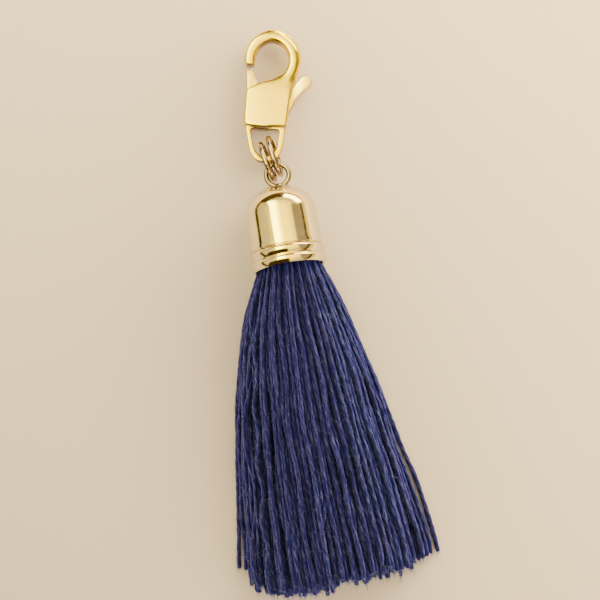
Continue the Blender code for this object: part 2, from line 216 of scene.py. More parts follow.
def shelter(layout, yarn, along, tube):
    """How far light reaches each point of a yarn: 1 in the open, 0 between yarns that touch."""
    distance, places, ends = layout
    others = np.delete(np.arange(len(ends)), yarn)
    centres = np.array(
        [[np.interp(along, distance, line) for line in places[:, other].T] for other in others]
    )
    centres[:, 1][along[None] > ends[others, None]] = -OUT_OF_REACH
    centres = centres.transpose(2, 0, 1)[:, None]
    points = tube[:, :, (0, 2)][:, :, None]
    radius = yarn_thickness(along)[:, None, None] / 2.0
    apart = centres - points
    clear = (np.linalg.norm(apart, axis=3) - radius).min(axis=2)
    beside = 1.0 - smooth_step(0.0, 1.0, np.abs(apart[..., 0]) / (COVER_WIDTH * radius))
    above = smooth_step(0.0, COVER_HEIGHT * radius, apart[..., 1])
    covered = smooth_step(*COVER_COUNT, (beside * above).sum(axis=2))
    shade = smooth_step(*GAP_LIGHT, clear) * (1.0 - COVER_SHADE * covered)
    for light, reach in ((LIP_LIGHT, along), (END_LIGHT, ends[yarn] - along)):
        shade *= (light + (1.0 - light) * smooth_step(0.0, SHADE_LENGTH, reach))[:, None]
    return shade


PLY_PITCH = 4.6  # length of one turn of the plies
PITCH_RANGE = (0.85, 1.2)  # each yarn's own, as shares of that
PLY_POINTS = 4  # points round each ply
PLY_GROOVE = (1.0, 0.94, 0.70, 0.94)  # share of the radius at a ply's crest, flank, groove, flank
UNEVEN_TWIST = ((0.06, 1.7, 9.0), (0.05, 0.7, 5.0))  # share of a turn, length, start
RING_STEP = 0.34  # between the rings of a yarn's mesh
SLUBS = ((0.06, 0.9), (0.05, 2.3))  # how a yarn swells and thins: share of its radius, length
THICKNESS_RANGE = (0.93, 1.05)  # each yarn's own, as shares of the usual one
CUT_END = 0.84  # share of its radius that is left where it is cut
YARN_SHIFT = 5.37  # between two yarns on their map, so that no two have the same fibres
END_SHIFT = 7.0  # the most that a cut end is turned on it


def unit(vectors):
    return vectors / np.linalg.norm(vectors, axis=-1, keepdims=True)


def plied_tube(along, middles, phase, pitch, swelling):
    """Points of one yarn, ring by ring, whose columns follow the plies round it."""
    tangent = unit(np.gradient(middles, axis=0))
    side = unit(np.cross((0.0, 0.0, 1.0), tangent))
    up = np.cross(tangent, side)
    columns = 3 * PLY_POINTS
    column = np.arange(columns)
    uneven = sum(
        share * np.sin(along / length + start * phase) for share, length, start in UNEVEN_TWIST
    )
    turn = math.tau * (column / columns + (uneven - along / pitch + phase)[:, None])
    groove = np.array(PLY_GROOVE)[column % PLY_POINTS]
    radius = yarn_thickness(along)[:, None] / 2.0 * groove * swelling[:, None]
    arm = side[:, None] * np.cos(turn)[..., None] + up[:, None] * np.sin(turn)[..., None]
    return middles[:, None] + arm * radius[..., None], turn / math.tau


def mark_points(mesh, label, numbers):
    """Gives each point of a mesh a number that its material reads by name."""
    mesh.attributes.new(label, "FLOAT", "POINT")
    mesh.attributes[label].data.foreach_set("value", np.asarray(numbers, dtype=float))


def tube_faces(rings, columns, first):
    """The faces of a closed tube whose points run ring by ring from a first one."""
    grid = first + np.arange(rings * columns).reshape(rings, columns)
    low, high = grid[:-1], grid[1:]
    quads = np.stack([low, np.roll(low, -1, 1), np.roll(high, -1, 1), high], axis=2)
    return quads.reshape(-1, 4).tolist() + [grid[0, ::-1].tolist(), grid[-1].tolist()]


def new_object(name, data):
    piece = bpy.data.objects.new(name, data)
    bpy.context.scene.collection.objects.link(piece)
    return piece


def mesh_piece(name, points, faces):
    """A smooth piece from points in millimetres."""
    mesh = bpy.data.meshes.new(name)
    mesh.from_pydata(np.asarray(points) * MM, [], faces)
    mesh.shade_smooth()
    return new_object(name, mesh)


def spun_yarn(yarn, layout, rng):
    """One yarn from inside the cap to its cut end: how it runs, its surface and its plies."""
    distance, places, ends = layout
    rings = int((ends[yarn] + INSIDE_CAP) / RING_STEP) + 1
    along = np.linspace(-INSIDE_CAP, ends[yarn], rings)
    x, z = (np.interp(along, distance, line) for line in places[:, yarn].T)
    ease(x)
    ease(z)
    middles = np.stack([x, MOUTH.y - along, z], axis=1)
    slubs = zip(SLUBS, rng.uniform(0.0, math.tau, 2))
    swelling = sum((share * np.sin(along / long + start) for (share, long), start in slubs), 1.0)
    swelling *= rng.uniform(*THICKNESS_RANGE)
    swelling[-1] *= CUT_END
    pitch = PLY_PITCH * rng.uniform(*PITCH_RANGE)
    tube, turn = plied_tube(along, middles, rng.uniform(), pitch, swelling)
    tube[..., 2] = np.maximum(tube[..., 2], 0.0)
    return along, middles, tube, turn


def yarn_map(along, turn, start, end_turn):
    """Where every corner of a yarn's faces lies on its map: round the yarn, and along it."""
    columns = turn.shape[1]
    step = 1.0 / columns
    v = along / PLY_PITCH + start
    low, high = turn[:-1], turn[1:]
    v_low, v_high = (np.repeat(part[:, None], columns, 1) for part in (v[:-1], v[1:]))
    corner = [(low, v_low), (low + step, v_low), (high + step, v_high), (high, v_high)]
    sides = np.stack([np.stack(pair, axis=2) for pair in corner], 2).reshape(-1, 2)
    root = np.stack([turn[0, ::-1], np.full(columns, v[0])], axis=1)
    cut = np.stack([turn[-1] + end_turn, np.full(columns, v[-1])], axis=1)
    return np.concatenate([sides, root, cut])


def yarn_piece(name, yarns, layout, rng):
    """Many yarns as one piece with its map, and how each of them runs."""
    dip = (1.0 - np.array(PLY_GROOVE)) / (1.0 - min(PLY_GROOVE))
    points, faces, corners, tubes = [], [], [], []
    values = {"tone": [], "groove": [], "light": []}
    count = 0
    for yarn in yarns:
        along, middles, tube, turn = spun_yarn(yarn, layout, rng)
        points.append(tube.reshape(-1, 3))
        faces += tube_faces(*turn.shape, count)
        corners.append(yarn_map(along, turn, YARN_SHIFT * yarn, END_SHIFT * rng.uniform()))
        lit = shelter(layout, yarn, along, tube)
        values["tone"].append(np.full(turn.size, rng.uniform()))
        values["groove"].append(np.tile(dip, len(along) * 3))
        values["light"].append(lit.ravel())
        tubes.append((middles, tube, lit))
        count += turn.size
    piece = mesh_piece(name, np.concatenate(points), faces)
    for label, parts in values.items():
        mark_points(piece.data, label, np.concatenate(parts))
    map_layer = piece.data.uv_layers.new(name="yarn_map")
    map_layer.data.foreach_set("uv", np.concatenate(corners).ravel())
    return piece, tubes


YARN_PAINTED_SHADE = (0.0013, 0.0010, 0.0290, 1.0)  # painted shade: the colour deep between the plies and between the yarns
YARN_DARK = (0.0040, 0.0033, 0.0215, 1.0)  # the darker fibres
YARN_BLUE = (0.0295, 0.0312, 0.0790, 1.0)  # the dye, which varies between these two
YARN_VIOLET = (0.0325, 0.0255, 0.0735, 1.0)
FIBRES = (14.0, 4.5, 1.0)  # how many fit round a yarn, and along one turn of its plies
STRANDS = (6.0, 3.2, 1.0)
DYE_PATCHES = 170.0  # how many fit in a metre
FIBRE_NOISE = (0.36, 0.64)  # between these a noise goes from dark fibres to dyed ones
STRAND_NOISE = (0.38, 0.60)  # and another from a strand's weakest dye to its fullest
STRAND_DYE = (0.24, 1.22)
PATCH_HUES = (-1.6, 2.6)  # what the patches and the yarn's own tone add to its hue
TONE_HUES = (-0.9, 0.9)
TONE_DYE = (0.75, 1.0)  # share of the dye that shows by tone; then painted shade from crest to groove and by light
GROOVE_PAINTED_SHADE = (1.0, 0.20)
LIGHT_PAINTED_SHADE = (0.05, 1.0)
FIBRE_RELIEF = (0.7, 0.00005)  # strength, and depth in metres


def feed(tree, node, inputs):
    """Sets each of a node's inputs to a value, or links it to another node's output."""
    for name, value in inputs.items():
        if isinstance(value, bpy.types.NodeSocket):
            tree.links.new(value, node.inputs[name])
        else:
            node.inputs[name].default_value = value


def add_node(tree, kind, output, inputs=None, **settings):
    """Adds a node to a material or to the room, and returns the output that is wanted."""
    node = tree.nodes.new("ShaderNode" + kind)
    for name, value in settings.items():
        setattr(node, name, value)
    feed(tree, node, inputs or {})
    return node.outputs[output]


def new_material(name):
    """A material, and the tree that its nodes go into."""
    material = bpy.data.materials.new(name)
    material.use_nodes = True
    return material, material.node_tree


def feed_shader(tree, inputs):
    feed(tree, tree.nodes["Principled BSDF"], inputs)


def noise(tree, place, scale, detail=2.0):
    inputs = {"Vector": place, "Scale": scale, "Detail": detail}
    return add_node(tree, "TexNoise", "Fac", inputs)


def stretched(tree, place, scale, turned=(0.0, 0.0, 0.0)):
    inputs = {"Vector": place, "Scale": scale, "Rotation": turned}
    return add_node(tree, "Mapping", "Vector", inputs)


def ranged(tree, value, low, high, start=0.0, end=1.0, shape="LINEAR"):
    """Turns what lies between start and end into what lies between low and high."""
    inputs = {"Value": value, "From Min": start, "From Max": end, "To Min": low, "To Max": high}
    return add_node(tree, "MapRange", "Result", inputs, interpolation_type=shape)


def computed(tree, operation, first, second, clamp=False):
    inputs = {0: first, 1: second}
    return add_node(tree, "Math", "Value", inputs, operation=operation, use_clamp=clamp)


def mixed(tree, share, first, second):
    """A share of the second colour in the first."""
    inputs = {"Factor": share, "A": first, "B": second}
    return add_node(tree, "Mix", "Result", inputs, data_type="RGBA")


def bumped(tree, height, strength, depth, under=None):
    """Relief of a depth in metres, on top of another relief if there is one under it."""
    inputs = {"Height": height, "Strength": strength, "Distance": depth}
    return add_node(tree, "Bump", "Normal", inputs | ({"Normal": under} if under else {}))


def yarn_material():
    """Dyed spun yarn: matt, with fine fibres along it, and painted shade in the grooves between
    its plies and where little light reaches.
    """
    material, tree = new_material("navy_spun_yarn")
    tone, groove, light = (
        add_node(tree, "Attribute", "Fac", attribute_name=label)
        for label in ("tone", "groove", "light")
    )
    lie = add_node(tree, "UVMap", "UV", uv_map="yarn_map")
    place = add_node(tree, "TexCoord", "Object")
    fibres = noise(tree, stretched(tree, lie, FIBRES), 1.0, 3.0)
    strands = noise(tree, stretched(tree, lie, STRANDS), 1.0, 1.0)
    strands = ranged(tree, strands, *STRAND_DYE, *STRAND_NOISE, "SMOOTHSTEP")
    streaks = ranged(tree, fibres, 0.0, 1.0, *FIBRE_NOISE, "SMOOTHSTEP")
    patches = ranged(tree, noise(tree, place, DYE_PATCHES), *PATCH_HUES)
    hue = computed(tree, "ADD", ranged(tree, tone, *TONE_HUES), patches, clamp=True)
    fibred = mixed(tree, streaks, YARN_DARK, mixed(tree, hue, YARN_VIOLET, YARN_BLUE))
    shade = strands
    # painted shade: the dye darkens towards the ply grooves and where little light reaches the
    # yarn
    for value, span in ((tone, TONE_DYE), (groove, GROOVE_PAINTED_SHADE), (light, LIGHT_PAINTED_SHADE)):
        shade = computed(tree, "MULTIPLY", shade, ranged(tree, value, *span))
    shader_inputs = {
        "Base Color": mixed(tree, shade, YARN_PAINTED_SHADE, fibred),
        "Roughness": 0.8,
        "Specular IOR Level": 0.05,
        "Sheen Weight": 0.05,
        "Sheen Roughness": 0.5,
        "Sheen Tint": (0.45, 0.48, 1.0, 1.0),
        "Normal": bumped(tree, fibres, *FIBRE_RELIEF),
    }
    feed_shader(tree, shader_inputs)
    return material


skirt_rng = np.random.default_rng(SKIRT_SEED)
layout = yarn_routes(skirt_rng)
navy_yarn = yarn_material()
SKIRT_LAYERS = ("core", "inner", "middle", "outer")
total = len(layout[2])
tubes = []
for layer, name in enumerate(SKIRT_LAYERS):
    first, last = (total * k // len(SKIRT_LAYERS) for k in (layer, layer + 1))
    yarns = range(first, last)
    piece, made = yarn_piece("skirt_yarns_" + name, yarns, layout, skirt_rng)
    tubes += made
    piece.data.materials.append(navy_yarn)
    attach(piece, "tassel")
    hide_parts("yarn_skirt")

# ---- stray fibres ----------------------------------------
# Spun yarn is hairy. Fine fibres stand off every yarn, and each cut end opens into a small tuft.
FUZZ_FIBRES = 3600
FUZZ_LIGHT = 0.70  # fibres show only where at least this share of the light reaches the yarn
FUZZ_OPEN = 0.97  # from here on all of them do
FUZZ_SHARE = 0.35  # and below it this share of them
FUZZ_LENGTH = (3.0, 0.14)  # shape and scale of how their lengths are spread
FUZZ_ROOT = 0.03  # how deep their roots lie in the yarn
FUZZ_ALONG = (0.3, 1.0)  # how far they go along the yarn, aside and out, and how they curl
FUZZ_ASIDE = 0.45
FUZZ_OUT = (0.15, 0.75)
FUZZ_CURL = 0.5
TUFT_FIBRES = 9  # at each cut end
TUFT_LENGTH = (4.0, 0.09)
TUFT_ROOT = 0.1  # how far behind the cut their roots lie
TUFT_PLACES = (0.1, 0.9)  # and how far out from the yarn's middle, as shares of its radius
TUFT_SPLAY = 0.28
TUFT_CURL = 0.6  # share of its splay that a fibre bends on
FIBRE_WIDE = 0.034
TUFT_WIDER = 1.5  # times as wide in a tuft
FIBRE_STEPS = 5
FIBRE_TAPER = 0.7  # how much of its width a fibre loses towards its end
FIBRE_BEND = 1.5  # above 1, a fibre goes its own way before it lifts
FIBRE_CLEAR = 0.01  # the least that a fibre keeps from the table
FIBRE_COLOUR = (0.07, 0.07, 0.17, 1.0)


def fibre(start, heading, lift, length, curl, wide):
    """A fine three-sided hair from a point, bending from its heading towards its lift."""
    steps = np.linspace(0.0, 1.0, FIBRE_STEPS + 1)[:, None]
    path = start + length * (heading * steps + lift * (steps**FIBRE_BEND) + curl * steps**2 * 0.5)
    along = unit(heading + lift)
    first = unit(np.cross(along, (0.3, 0.5, 0.81)))
    second = np.cross(along, first)
    turns = math.tau * np.arange(3) / 3
    round_it = first * np.cos(turns)[:, None] + second * np.sin(turns)[:, None]
    taper = wide / 2.0 * (1.0 - FIBRE_TAPER * steps)
    return (path[:, None] + round_it[None] * taper[..., None]).reshape(-1, 3)


def fibre_piece(name, hairs):
    faces = []
    for number, hair in enumerate(hairs):
        faces += tube_faces(FIBRE_STEPS + 1, 3, number * len(hair))
    return mesh_piece(name, np.concatenate(hairs), faces)


def fuzz_hairs(rng):
    """Fibres that stand off the yarns' open sides, along them or back."""
    hairs = []
    while len(hairs) < FUZZ_FIBRES:
        middles, tube, lit = tubes[rng.integers(len(tubes))]
        ring = rng.integers(int(INSIDE_CAP / RING_STEP) + 3, len(middles))
        column = rng.integers(tube.shape[1])
        light = lit[ring, column]
        if light < FUZZ_LIGHT or rng.uniform() > (1.0 if light > FUZZ_OPEN else FUZZ_SHARE):
            continue
        start = tube[ring, column]
        out = unit(start - middles[ring])
        heading = unit(middles[ring] - middles[ring - 1]) * rng.choice([-1.0, 1.0])
        side = np.cross(heading, out)
        lean = heading * rng.uniform(*FUZZ_ALONG) + side * rng.normal(0.0, FUZZ_ASIDE)
        lift = out * rng.uniform(*FUZZ_OUT)
        curl = rng.normal(0.0, FUZZ_CURL, 3)
        length = rng.gamma(*FUZZ_LENGTH)
        hair = fibre(start - FUZZ_ROOT * out, lean, lift, length, curl, FIBRE_WIDE)
        if hair[:, 2].min() > FIBRE_CLEAR:
            hairs.append(hair)
    return hairs


def tuft_hairs(rng):
    """Fibres that splay from the yarns' cut ends."""
    hairs = []
    for middles, tube, _ in tubes:
        end = middles[-1]
        heading = unit(end - middles[-2])
        for _ in range(TUFT_FIBRES):
            rim = tube[-1, rng.integers(tube.shape[1])]
            start = end + (rim - end) * rng.uniform(*TUFT_PLACES) - TUFT_ROOT * heading
            splay = rng.normal(0.0, TUFT_SPLAY, 3)
            length = rng.gamma(*TUFT_LENGTH)
            hair = fibre(start, heading, splay, length, TUFT_CURL * splay, TUFT_WIDER * FIBRE_WIDE)
            if hair[:, 2].min() > FIBRE_CLEAR:
                hairs.append(hair)
    return hairs


fibre_navy, fibre_tree = new_material("navy_fibres")
speckle = noise(fibre_tree, add_node(fibre_tree, "TexCoord", "Object"), 2500.0)
fibre_tint = mixed(fibre_tree, speckle, YARN_BLUE, FIBRE_COLOUR)
fibre_inputs = {"Base Color": fibre_tint, "Roughness": 0.6, "Specular IOR Level": 0.3}
feed_shader(fibre_tree, fibre_inputs)
for name, hairs in (("skirt_fuzz", fuzz_hairs(skirt_rng)), ("skirt_tufts", tuft_hairs(skirt_rng))):
    piece = fibre_piece(name, hairs)
    piece.data.materials.append(fibre_navy)
    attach(piece, "tassel")
    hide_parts("yarn_skirt")

# ---- bell cap --------------------------------------------
# A bell of thin brass, pressed and spun, with two ribs rolled round its rim, then plated pale gold
# and polished. The yarns' knotted head is glued inside. The bell lies on its rim's rib.
CAP_PITCH = 2.7  # degrees that its crown dips
WALL = 0.42
BODY_RADIUS = (4.17, 4.03)  # above the ribs, and where the crown begins
BODY_TOP = 6.5  # heights are above the mouth
BODY_RINGS = (0.5, 0.4)  # from the body's foot and top to rings that keep its shading even
CROWN_RISE = 3.15
RIBS = (
    # crest radius, lower edge
    (4.33, 0.0),
    (4.27, 1.14),
)
RIB_WIDTH = 1.1
RIB_GROOVE = 0.30  # how far the grooves lie below the crests
RIB_CREST = 0.62  # share of a rib's width at which its crest lies
RIB_BEND = 1.6  # above 1, its slopes are round at the crest
BORE_RADIUS = 3.75
LIP_ROUND = 0.08
LIP_EDGE = 0.02  # height above the lip at which the lowest rib begins
SHOULDER = (0.05, 0.08)  # size of the step from ribs to body, and the rise in which it widens
CROWN_STEPS = 18
SPIN_STEPS = 144
CAP_FLANK = (0.60, 0.74)  # how far the surface faces up where the flanks' painted shade ends and the top begins
PALE_GOLD = (0.96, 0.75, 0.24, 1.0)
DEEP_GOLD = (0.93, 0.70, 0.19, 1.0)
CAP_FLANK_PAINTED_SHADE = (0.78, 0.72, 0.50, 1.0)  # painted shade on the flanks: a greyer, darker gold for the shaded table that they mirror
CAP_POLISH = (0.07, 0.15)  # roughness of its clearest and of its haziest patches


def placed(offset, *turns):
    """A place in metres: turns are (degrees, axis), the last one made first."""
    matrix = Matrix.Translation(Vector(offset) * MM)
    for degrees, axis in turns:
        matrix = matrix @ Matrix.Rotation(math.radians(degrees), 4, axis)
    return matrix


def select_only(*pieces):
    """Selects pieces and nothing else. The first one is the active one."""
    bpy.ops.object.select_all(action="DESELECT")
    for piece in pieces:
        piece.select_set(True)
    bpy.context.view_layer.objects.active = pieces[0]


def start_shape(name, points, fill="NOTHING"):
    """A new loop through points in millimetres, which are flat where they have no height."""
    bpy.ops.object.select_all(action="DESELECT")
    bpy.ops.mesh.primitive_circle_add(vertices=len(points), radius=MM, fill_type=fill)
    shape = bpy.context.object
    shape.name = shape.data.name = name
    for vertex, point in zip(shape.data.vertices, points):
        vertex.co = Vector((*point, 0.0)[:3]) * MM
    return shape


def spun_shape(name, profile, steps):
    """A profile of (radius, height) spun about +Z. Both its ends lie on the axis."""
    shape = start_shape(name, [(radius, 0.0, height) for radius, height in profile])
    bpy.context.tool_settings.mesh_select_mode = (False, True, False)
    for edge in shape.data.edges:
        edge.select = all(profile[i][0] == 0.0 for i in edge.vertices)
    for vertex in shape.data.vertices:
        vertex.select = profile[vertex.index][0] == 0.0
    bpy.ops.object.mode_set(mode="EDIT")
    bpy.ops.mesh.delete(type="EDGE")
    bpy.ops.mesh.select_all(action="SELECT")
    bpy.ops.mesh.spin(steps=steps, angle=math.tau, center=(0, 0, 0), axis=(0, 0, 1))
    bpy.ops.mesh.select_all(action="SELECT")
    bpy.ops.mesh.remove_doubles(threshold=1e-6)
    bpy.ops.mesh.normals_make_consistent(inside=False)
    bpy.ops.object.mode_set(mode="OBJECT")
    return shape


def joined(*pieces):
    """The first piece with the others joined to it."""
    select_only(*pieces)
    bpy.ops.object.join()
    return pieces[0]


def smoothed(piece, degrees):
    """Shades a piece smooth but for edges sharper than an angle."""
    select_only(piece)
    bpy.ops.object.shade_smooth_by_angle(angle=math.radians(degrees))


def rib_profile(crest, low, steps=12):
    """A rib with a long slope towards the mouth and a short one towards the crown."""
    heights = [i / steps for i in range(steps + 1)]
    falls = [max((RIB_CREST - h) / RIB_CREST, (h - RIB_CREST) / (1 - RIB_CREST)) for h in heights]
    return [
        (crest - RIB_GROOVE * fall**RIB_BEND, low + RIB_WIDTH * h)
        for fall, h in zip(falls, heights)
    ]


def crown_arc(inset):
    """Half the crown in section, from its middle down to the body."""
    turns = [math.radians(90 * i / CROWN_STEPS) for i in range(CROWN_STEPS + 1)]
    radius, rise = BODY_RADIUS[1] - inset, CROWN_RISE - inset
    arc = [(radius * math.sin(t), BODY_TOP + rise * math.cos(t)) for t in turns]
    return [(0.0, arc[0][1])] + arc[1:]


def bell_profile():
    """The wall in section, from the crown's inside, down to the lip, and up the outside."""
    lip = [(BORE_RADIUS, LIP_ROUND), (BORE_RADIUS + LIP_ROUND, 0.0)]
    ribs = [point for crest, low in RIBS for point in rib_profile(crest, low)]
    ribs[0] = (ribs[0][0], LIP_EDGE)
    foot = RIBS[1][1] + RIB_WIDTH + SHOULDER[0]
    body = [(BODY_RADIUS[0] - SHOULDER[0], foot), (BODY_RADIUS[0], foot + SHOULDER[1])]
    slope = (BODY_RADIUS[0] - BODY_RADIUS[1]) / (BODY_TOP - foot)
    for height in (foot + BODY_RINGS[0], (foot + BODY_TOP) / 2, BODY_TOP - BODY_RINGS[1]):
        body.append((BODY_RADIUS[0] - slope * (height - foot), height))
    return crown_arc(WALL) + lip + ribs + body + crown_arc(0.0)[::-1]


TINT_PATCHES = 450.0  # how many fit in a metre, as for the next three
HAZE_PATCHES = 1300.0
WAVES = 420.0
SCRATCHES = (600.0, 9000.0, 9000.0)  # along a scratch and across it
SCRATCH_TURN = (0.3, 0.4, 0.7)
WAVE_RELIEF = (0.5, 0.00002)
SCRATCH_RELIEF = (0.12, 0.000004)
MIDDLE = (0.3, 0.7)  # between these a noise goes from one tone or roughness to the other


def plated_metal(name, pale, deep, polish, painted_shade=None):
    """Plating over a polished casting: faint waves, patches of haze and hair-fine scratches."""
    material, tree = new_material(name)
    place = add_node(tree, "TexCoord", "Object")
    tint = ranged(tree, noise(tree, place, TINT_PATCHES, 4.0), 0.0, 1.0, *MIDDLE)
    colour = mixed(tree, tint, pale, deep)
    # painted shade: a darker colour mixed in where the piece marks its flanks
    if painted_shade:
        flank = add_node(tree, "Attribute", "Fac", attribute_name="flank")
        colour = mixed(tree, flank, colour, painted_shade)
    patches = noise(tree, place, HAZE_PATCHES, 5.0)
    waves = bumped(tree, noise(tree, place, WAVES, 1.0), *WAVE_RELIEF)
    scratches = noise(tree, stretched(tree, place, SCRATCHES, SCRATCH_TURN), 1.0, 3.0)
    shader_inputs = {
        "Base Color": colour,
        "Metallic": 1.0,
        "Roughness": ranged(tree, patches, *polish, *MIDDLE),
        "Normal": bumped(tree, scratches, *SCRATCH_RELIEF, waves),
    }
    feed_shader(tree, shader_inputs)
    return material


cap_place = placed(MOUTH, (-90.0 - CAP_PITCH, "X"))
bell = spun_shape("bell", bell_profile(), SPIN_STEPS)
bell.data.transform(cap_place)
smoothed(bell, 40)
# painted shade: the cap's sideways-facing flanks get a greyer gold
flanks = [1.0 - smooth_step(*CAP_FLANK, vertex.normal.z) for vertex in bell.data.vertices]
mark_points(bell.data, "flank", flanks)
cap_gold = plated_metal("polished_cap_gold", PALE_GOLD, DEEP_GOLD, CAP_POLISH, CAP_FLANK_PAINTED_SHADE)
bell.data.materials.append(cap_gold)
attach(bell, "tassel")
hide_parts("bell_cap")

# ---- eye of the cap --------------------------------------
# A small closed brass wire ring, soldered to the crown. The solder forms a short fillet round its
# foot. It is plated with the cap, but no wheel reaches it, so it stays dull. Its colour is
# darkened as painted shade, for the dark room that it mirrors. It leans to one side.
EYE_CENTRE = (0.42, 0.66, 11.09)  # sideways and down from the cap's axis, above its mouth
EYE_RADIUS = 1.29  # to the middle of its wire
EYE_WIRE = 0.56
SEAM_WIDTH = 0.9  # share of a wire's thickness at the seam where its ends meet
# painted shade: the eye's gold is darkened for the dark room that it mirrors
EYE_DARKENED_GOLD = (0.34, 0.26, 0.20, 1.0)
EYE_SHADE = (0.21, 0.15, 0.11, 1.0)
EYE_POLISH = (0.12, 0.24)
SOLDER = (
    # radius, height above the mouth
    (0.0, 9.1), (0.95, 9.1), (0.86, 9.40), (0.62, 9.60),
    (0.48, 9.80), (0.40, 10.05), (0.0, 10.12),
)


def soft_profile(corners, rounds=2):
    """Corners cut again and again until a profile is round. The ends stay."""
    for _ in range(rounds):
        cut = [corners[0]]
        for (x0, y0), (x1, y1) in zip(corners, corners[1:]):
            cut.append((0.75 * x0 + 0.25 * x1, 0.75 * y0 + 0.25 * y1))
            cut.append((0.25 * x0 + 0.75 * x1, 0.25 * y0 + 0.75 * y1))
        corners = cut + [corners[-1]]
    return corners


def wire_ring(name, radius, wire, around, section, joint):
    """A ring of round wire about +Z. Its ends meet in a fine seam, at the joint's degrees."""
    bpy.ops.object.select_all(action="DESELECT")
    bpy.ops.mesh.primitive_torus_add(
        major_radius=radius * MM,
        minor_radius=wire / 2 * MM,
        major_segments=around,
        minor_segments=section,
    )
    ring = bpy.context.object
    ring.name = ring.data.name = name
    turn = math.radians(joint)
    seam = Vector((math.cos(turn), math.sin(turn)))
    near = math.pi / around * 0.9
    for vertex in ring.data.vertices:
        vertex.select = vertex.co.xy.angle(seam) < near
    for face in ring.data.polygons:
        face.select = False
    for edge in ring.data.edges:
        edge.select = all(ring.data.vertices[i].select for i in edge.vertices)
    bpy.context.tool_settings.mesh_select_mode = (True, False, False)
    bpy.ops.object.mode_set(mode="EDIT")
    wire_middle = seam.to_3d() * radius * MM
    bpy.ops.transform.resize(value=[SEAM_WIDTH] * 3, center_override=wire_middle)
    bpy.ops.object.mode_set(mode="OBJECT")
    return ring


eye_ring = wire_ring("cap_eye", EYE_RADIUS, EYE_WIRE, around=96, section=24, joint=270)
eye_ring.data.transform(cap_place @ placed(EYE_CENTRE, (90, "X")))
solder = spun_shape("solder", soft_profile(list(SOLDER)), steps=48)
lean = math.degrees(math.atan2(EYE_CENTRE[0], EYE_CENTRE[2]))
dip = math.degrees(math.atan2(EYE_CENTRE[1], EYE_CENTRE[2]))
solder.data.transform(cap_place @ placed((0, 0, 0), (lean, "Y"), (-dip, "X")))
eye = joined(eye_ring, solder)
smoothed(eye, 60)
eye.data.materials.append(plated_metal("satin_eye_gold", EYE_DARKENED_GOLD, EYE_SHADE, EYE_POLISH))
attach(eye, "tassel")
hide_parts("bell_cap")

# ---- jump rings ------------------------------------------
# Two rings of round brass wire, bent shut butt to butt, link the cap's eye to the clasp's loop.
# Their plating is rosier than the cap's. Both stand on edge and lean against each other's side.
RING_RADIUS = 2.168  # to the middle of the wire
RING_WIRE = 0.62
RING_LEAN = 8.0  # degrees from upright
RING_LIFT = 0.02  # above the table
RINGS = (
    # name, x and y from the cap's mouth, turn from the cap's line, place of the seam
    ("jump_ring_left", -0.42, 12.81, 11.2, 200),
    ("jump_ring_right", 0.48, 13.33, 8.6, 150),
)
ROSE_GOLD = (0.50, 0.38, 0.29, 1.0)
DARK_ROSE = (0.36, 0.25, 0.18, 1.0)
RING_POLISH = (0.10, 0.22)
RING_SIDE_SHADE = (0.10, 0.06, 0.04, 1.0)  # painted shade on the sides of the wire, which face sideways
RING_SIDE_SHADED = (0.45, 0.85)  # the painted shade begins and is full at these shares of the wire's half thickness

ring_gold = plated_metal("rosy_ring_gold", ROSE_GOLD, DARK_ROSE, RING_POLISH, RING_SIDE_SHADE)
ring_height = RING_RADIUS * math.cos(math.radians(RING_LEAN)) + RING_WIRE / 2 + RING_LIFT
for name, x, y, turn, seam in RINGS:
    ring = wire_ring(name + "_wire", RING_RADIUS, RING_WIRE, around=128, section=24, joint=seam)
    # painted shade on the wire's sides, by how far each point lies off the ring's middle plane
    beside = np.array([abs(vertex.co.z) for vertex in ring.data.vertices]) / (RING_WIRE / 2 * MM)
    mark_points(ring.data, "flank", smooth_step(*RING_SIDE_SHADED, beside))
    middle = (MOUTH.x + x, MOUTH.y + y, ring_height)
    ring.data.transform(placed(middle, (turn, "Z"), (-RING_LEAN, "Y"), (90.0, "Y")))
    smoothed(ring, 60)
    ring.data.materials.append(ring_gold)
    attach(ring, "tassel")
    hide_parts(name)

# ---- clasp body ------------------------------------------
# One small brass casting: two plates with a slot between them, a thinner hook that grows out of
# them, and a flat loop below for the rings. It is tumbled smooth, plated gold and polished.
CLASP = Vector((0.49, 24.09, 1.5))  # middle of the housing
CLASP_LEAN = 12.95  # degrees that its hook leans towards +X
HOUSING_HALF = 1.5  # half of the thickness over the plates
HOOK_HALF = 1.1
THINNER = (1.6, 4.6)  # the plates thin down to the hook between these heights
HOOK_OUTER = (0.46, 5.47, 3.20, 3.34)  # centre x, centre y, half width, half height
HOOK_INNER = (0.34, 5.28, 1.93, 2.28)
HOOK_TIP = 196.0  # degrees, where the hook ends
HOOK_ROOTS = (-20.0, -40.0)  # where the outer and inner curves run into the housing
# Corners of the housing from the hook's outer root, down the lever's side and round to its inner
# root. x points to the lever's side and y to the hook.
HOUSING = (
    (3.02, 2.80), (2.66, 0.50), (2.50, -2.20), (2.30, -2.40), (1.20, -2.40), (-0.10, -2.60),
    (-2.10, -2.48), (-2.42, -2.15), (-2.37, 1.45), (-2.22, 1.82), (-1.00, 2.50), (0.50, 2.99),
)
